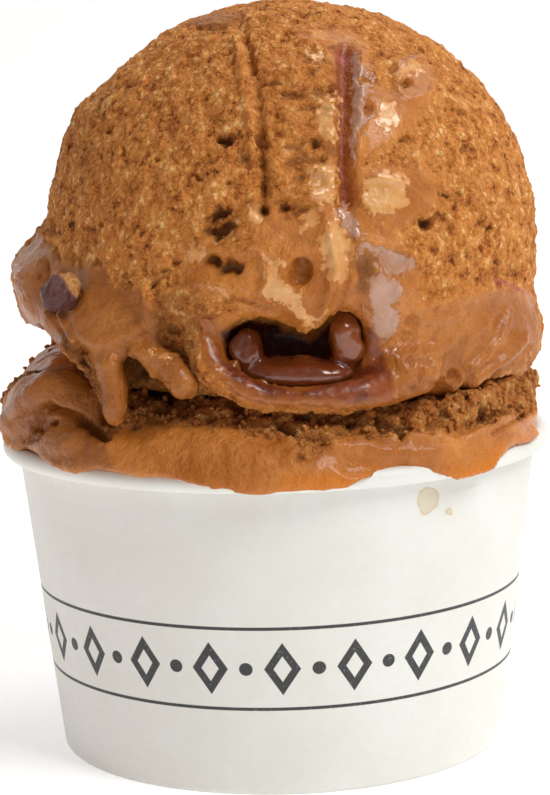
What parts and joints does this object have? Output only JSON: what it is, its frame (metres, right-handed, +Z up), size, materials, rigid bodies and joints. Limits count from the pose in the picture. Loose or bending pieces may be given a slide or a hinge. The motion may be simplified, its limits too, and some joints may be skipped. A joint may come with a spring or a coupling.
{
  "type": "gelato cup",
  "caption": "Tapered paper cup with a rolled rim, filled and heaped with caramel gelato: a melted lower portion over the rim, and a ball with drips, a caramel hollow and a piece of nut on top.",
  "frame": {"origin": "centre of the cup's foot, on the surface that it stands on", "axes": "+Z up along the cup's axis; -Y towards the front, where the hollow with the caramel is; +X to the right seen from the front"},
  "size_m": [0.092, 0.0937, 0.1234],
  "materials": {
    "cup_paper": "white coated cup board, faintly fibrous, satin",
    "gelato_soft": "caramel gelato, porous and crumbly above, melted smooth and wet over the rim",
    "gelato_ball": "caramel gelato, fine dry grain on the dome, melted and glossy on the front",
    "caramel": "dark red-brown caramel sauce, wet gloss, slightly see-through at its thin edges",
    "nut": "pale golden crumbly nut with a dark skin"
  },
  "bodies": {
    "root": {"paper_cup": "cup_paper", "base_portion": "gelato_soft", "top_portion": "gelato_ball", "caramel_pool": "caramel", "nut_piece": "nut"}
  },
  "joints": []
}
